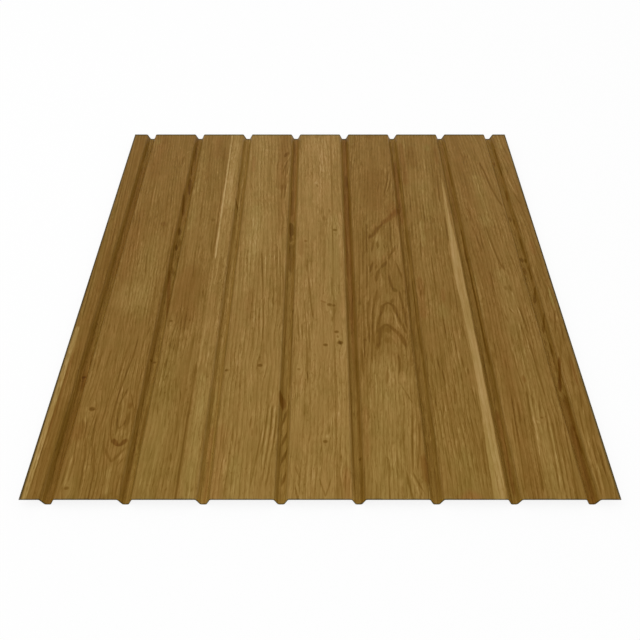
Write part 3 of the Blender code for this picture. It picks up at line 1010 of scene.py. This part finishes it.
def grouped(name, across, along, work, marks):
    """What the marks add up to at a place: two fields, worked out in a node group of their own."""
    group = bpy.data.node_groups.new(name, "ShaderNodeTree")
    for kind, names in (("INPUT", ("across", "along")), ("OUTPUT", ("first", "second"))):
        for socket in names:
            group.interface.new_socket(socket, in_out=kind, socket_type="NodeSocketFloat")
    entry = group.nodes.new("NodeGroupInput")
    results = work(Field(group, entry.outputs["across"]), Field(group, entry.outputs["along"]), marks)
    leaving = group.nodes.new("NodeGroupOutput")
    for socket, value in zip(leaving.inputs, results):
        plug(group, socket, value)
    node = across.tree.nodes.new("ShaderNodeGroup")
    node.node_tree = group
    plug(across.tree, node.inputs["across"], across)
    plug(across.tree, node.inputs["along"], along)
    return [Field(across.tree, node.outputs[socket]) for socket in ("first", "second")]


def knotted(across, along, knots):
    """The tone of the knots, and how far they push the grain aside."""
    tone = bend = 0.0
    for knot in knots:
        dx = across - strip_place(knot.x)
        dy = along - knot.y
        dxx = dx * dx
        dyy = dy * dy
        near = (dyy.times(0.2, dxx) * (-1.0 / (knot.size * 2.2) ** 2)).by("EXPONENT")
        core = dxx.times(0.7, dyy).fade((knot.size * 0.85) ** 2, 0.0)
        tone = near.times(KNOT_HALO, core.times(knot.tone - KNOT_HALO, tone))
        bend = (dx * near).times(0.8, bend)
    return tone, bend


def painted(across, along, streaks):
    """The tone and the redness of the streaks."""
    x = across / CURVE_UNIT
    tone = red = 0.0
    for streak in streaks:
        start = streak.path[0][1] - CURVE_ROOM
        length = streak.path[-1][1] + CURVE_ROOM - start
        way = along.times(1.0 / length, -start / length)

        def traced(places):
            """A field that follows the places (along, value), both in mm."""
            return curved(way, [((y - start) / length, value / CURVE_UNIT) for y, value in places])

        away = abs(x - traced([(y, strip_place(x)) for x, y in streak.path]))
        if streak.legs:
            away = abs(away - traced([(y, out) for (_, y), out in zip(streak.path, streak.legs)]))
        half = traced(half_widths(streak))
        share = ((half - away) * (CURVE_UNIT / streak.soft)).clamped()
        tone = share.times(streak.tone * streak.strength(), tone)
        if streak.red:
            red = share.times(streak.red, red)
    return tone, red


def half_widths(streak):
    """From the middle of a streak to where it ends, along its path. A line is as wide as stated half-way
    down its soft edges, a patch at the foot of them.
    """
    ys = [y for _, y in streak.path]
    half = streak.width / 2
    if streak.swell:
        return [(y, share * half) for y, share in zip(ys, streak.swell)]
    if streak.is_line():
        half += streak.soft / 2
    far, near = ys[0], ys[-1]
    taper = min(max(LONGEST_TAPER, streak.width), (near - far) / 2.2)
    if not streak.legs:
        return [(far, 0.0), (far + taper, half), (near - taper, half), (near, 0.0)]
    head = [(far, 0.0), (far + taper, half)]
    tail = [(near - taper, half), (near, 0.0)]
    if not streak.legs[0]:
        head = [(far - APEX_START, 0.0), (far, half)]
    if not streak.legs[-1]:
        tail = [(near, half), (near + APEX_START, 0.0)]
    return head + tail


def curved(value, places):
    """A smooth curve through the places (value, result), level beyond the first and the last. The values
    fill the range from 0 to 1, over which the curve is finest.
    """
    node = value.tree.nodes.new("ShaderNodeFloatCurve")
    node.mapping.extend = "HORIZONTAL"
    node.mapping.use_clip = False
    points = node.mapping.curves[0].points
    for point, place in zip(points, (places[0], places[-1])):
        point.location = place
    for place in places[1:-1]:
        points.new(*place)
    for point in points:
        point.handle_type = "AUTO_CLAMPED"
    node.mapping.update()
    plug(value.tree, node.inputs["Value"], value)
    return Field(value.tree, node.outputs["Value"])


def service_coat():
    material, shader, across, along = new_material("service_coat")
    speckle = noise(across / 2.0, along / 2.0, 1.0, 3.0)
    streaks = noise(across / 6.0, along / 300.0, 2.0, 2.0)
    clouds = noise(across / 120.0, along / 200.0, 3.0, 2.0)
    value = 0.5 + speckle * 0.15 + streaks * 0.15 + clouds * 0.3
    colour = shades(value, [(0.0, (0.40, 0.39, 0.36)), (1.0, (0.52, 0.51, 0.47))])
    plug(material.node_tree, shader.inputs["Base Color"], colour)
    plug(material.node_tree, shader.inputs["Roughness"], 0.55 + streaks * 0.08)
    plug(material.node_tree, shader.inputs["Normal"], bump(speckle, 0.00002))
    return material


def cut_steel():
    material, shader, across, along = new_material("cut_steel")
    nicks = noise(across / 0.7, along / 0.7, 1.0, 2.0)
    value = 0.5 + nicks * 0.5
    colour = shades(value, [(0.0, (0.04, 0.035, 0.03)), (1.0, (0.14, 0.13, 0.12))])
    plug(material.node_tree, shader.inputs["Base Color"], colour)
    plug(material.node_tree, shader.inputs["Roughness"], 0.5 + nicks * 0.15)
    plug(material.node_tree, shader.inputs["Normal"], bump(nicks, 0.00003))
    shader.inputs["Metallic"].default_value = 0.5
    return material


# The sheet

BAKE_MAP = "OFBake"
# The print's zones end at the grooves' centre lines, in mm from the left edge
GROOVE_LINES = [1000 * (HALF_WIDTH - COVER_WIDTH / 2 + i * GROOVE_PITCH) for i in range(GROOVE_COUNT)]
ZONE_ENDS = [0.0, *GROOVE_LINES, 2000 * HALF_WIDTH]
ZONE_COUNT = len(ZONE_ENDS) - 1
BACK, CUT = ZONE_COUNT, ZONE_COUNT + 1
SPLIT_ZONE = 4  # the face's two halves on the bake map meet at the start of this zone
# Windows on the bake map: left, bottom, right, top
LEFT_HALF = (0.004, 0.552, 0.996, 0.996)
RIGHT_HALF = (0.004, 0.100, 0.996, 0.544)
BACK_SIDE = (0.004, 0.030, 0.996, 0.092)
FRONT_CUT = (0.004, 0.004, 0.496, 0.010)
REAR_CUT = (0.504, 0.004, 0.996, 0.010)
LEFT_CUT = (0.004, 0.016, 0.496, 0.022)
RIGHT_CUT = (0.504, 0.016, 0.996, 0.022)


def zone_of(station):
    return min(bisect.bisect_right(ZONE_ENDS, 1000 * (station.x + HALF_WIDTH)), ZONE_COUNT) - 1


def shares_of_length(verts):
    """How far along a row of points each one is, from 0 to 1."""
    gone = [0.0]
    for vert, after in zip(verts, verts[1:]):
        gone.append(gone[-1] + (after.co - vert.co).length)
    return [length / gone[-1] for length in gone]


def build_sheet():
    shell = bmesh.new()
    strip_map = shell.loops.layers.uv.new(STRIP_MAP)
    bake_map = shell.loops.layers.uv.new(BAKE_MAP)
    ys = [HALF_LENGTH * (2 * row / ROW_STEPS - 1) for row in range(ROW_STEPS + 1)]
    place = {}

    def surface(offset):
        grid = []
        for y in ys:
            row = []
            for station in SECTION:
                x = station.x - offset * math.sin(station.heading)
                z = station.z + offset * math.cos(station.heading)
                vert = shell.verts.new((x, y, z))
                place[vert] = (station.run, HALF_LENGTH - y)
                row.append(vert)
            grid.append(row)
        return grid

    def patch(grid, materials, window, turned=False):
        """Faces over a grid of points, with a material for each column, in a window of the bake map."""
        left, bottom, right, top = window
        us = [left + (right - left) * share for share in shares_of_length(grid[0])]
        vs = [bottom + (top - bottom) * share for share in shares_of_length([row[0] for row in grid])]
        for row in range(len(grid) - 1):
            for column in range(len(grid[0]) - 1):
                corners = [(row, column), (row, column + 1), (row + 1, column + 1), (row + 1, column)]
                if turned:
                    corners.reverse()
                face = shell.faces.new([grid[r][c] for r, c in corners])
                face.material_index = materials[column]
                face.smooth = True
                for loop, (r, c) in zip(face.loops, corners):
                    loop[strip_map].uv = place[loop.vert]
                    loop[bake_map].uv = (us[c], vs[r])

    face = surface(STEEL_THICKNESS / 2)
    back = surface(-STEEL_THICKNESS / 2)
    zones = [zone_of(station) for station in SECTION]
    split = zones.index(SPLIT_ZONE)
    patch([row[: split + 1] for row in face], zones[:split], LEFT_HALF)
    patch([row[split:] for row in face], zones[split:], RIGHT_HALF)
    patch(back, [BACK] * len(SECTION), BACK_SIDE, turned=True)
    cuts = [CUT] * len(SECTION)
    patch([back[0], face[0]], cuts, FRONT_CUT)
    patch([back[-1], face[-1]], cuts, REAR_CUT, turned=True)
    patch([[row[0] for row in side] for side in (back, face)], cuts, LEFT_CUT, turned=True)
    patch([[row[-1] for row in side] for side in (back, face)], cuts, RIGHT_CUT)
    mesh = bpy.data.meshes.new("rolled_sheet")
    shell.to_mesh(mesh)
    shell.free()
    mesh.set_sharp_from_angle(angle=math.radians(40))
    sheet = bpy.data.objects.new("rolled_sheet", mesh)
    bpy.context.scene.collection.objects.link(sheet)
    for zone, (left, right) in enumerate(zip(ZONE_ENDS, ZONE_ENDS[1:])):
        mesh.materials.append(oak_print(f"oak_print_{zone + 1}", left, right))
    mesh.materials.append(service_coat())
    mesh.materials.append(cut_steel())
    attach(sheet, "root")
    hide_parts(SHEET_NODE)
    return sheet


# The studio

FLOOR_SIDE = 30.0
FLOOR_WHITE = (0.95, 0.95, 0.95, 1.0)
WORLD_LIGHT = 0.89
KEY_PLACE = (-1.6, 0.3, 3.0)
KEY_SIDE = 3.0
KEY_POWER = 17.5  # watts
SHADOW_SHOWN = 0.15  # how much of the floor's own shading the camera sees


def seen_directly(tree):
    """1 for camera, glossy and transmission rays, and 0 for the others."""
    path = tree.nodes.new("ShaderNodeLightPath")
    camera = Field(tree, path.outputs["Is Camera Ray"])
    glossy = Field(tree, path.outputs["Is Glossy Ray"])
    through = Field(tree, path.outputs["Is Transmission Ray"])
    return camera.most(glossy).most(through)


def build_floor():
    bpy.ops.mesh.primitive_plane_add(size=FLOOR_SIDE)
    floor = bpy.context.object
    floor.name = "floor"
    material = bpy.data.materials.new("white_floor")
    material.use_nodes = True
    tree = material.node_tree
    shader = tree.nodes["Principled BSDF"]
    shader.inputs["Base Color"].default_value = FLOOR_WHITE
    shader.inputs["Roughness"].default_value = 1.0
    shader.inputs["Specular IOR Level"].default_value = 0.0
    glow = tree.nodes.new("ShaderNodeEmission")
    mix = tree.nodes.new("ShaderNodeMixShader")
    plug(tree, mix.inputs["Fac"], seen_directly(tree) * (1.0 - SHADOW_SHOWN))
    tree.links.new(shader.outputs["BSDF"], mix.inputs[1])
    tree.links.new(glow.outputs["Emission"], mix.inputs[2])
    tree.links.new(mix.outputs["Shader"], tree.nodes["Material Output"].inputs["Surface"])
    floor.data.materials.append(material)


def light_world():
    world = bpy.data.worlds.new("studio")
    world.use_nodes = True
    bpy.context.scene.world = world
    tree = world.node_tree
    strength = seen_directly(tree) * (1.0 - WORLD_LIGHT) + WORLD_LIGHT
    plug(tree, tree.nodes["Background"].inputs["Color"], (1.0, 1.0, 1.0, 1.0))
    plug(tree, tree.nodes["Background"].inputs["Strength"], strength)


def add_key_light():
    """A softbox that faces the middle of the sheet."""
    lamp = bpy.data.lights.new("key", "AREA")
    lamp.shape = "SQUARE"
    lamp.size = KEY_SIDE
    lamp.energy = KEY_POWER
    holder = bpy.data.objects.new("key", lamp)
    holder.location = KEY_PLACE
    holder.rotation_euler = (-Vector(KEY_PLACE)).to_track_quat("-Z", "Y").to_euler()
    bpy.context.scene.collection.objects.link(holder)


def add_camera():
    camera = bpy.data.cameras.new("camera")
    camera.sensor_width = SENSOR
    camera.lens = PHOTO_FOCAL * SENSOR / PHOTO_SIDE
    holder = bpy.data.objects.new("camera", camera)
    holder.location = CAMERA_PLACE
    holder.rotation_euler = (math.pi / 2 - CAMERA_DIP, 0.0, 0.0)
    bpy.context.scene.collection.objects.link(holder)
    bpy.context.scene.camera = holder


add_camera()
build_sheet()
build_floor()
light_world()
add_key_light()
bpy.context.scene.view_settings.view_transform = "Standard"
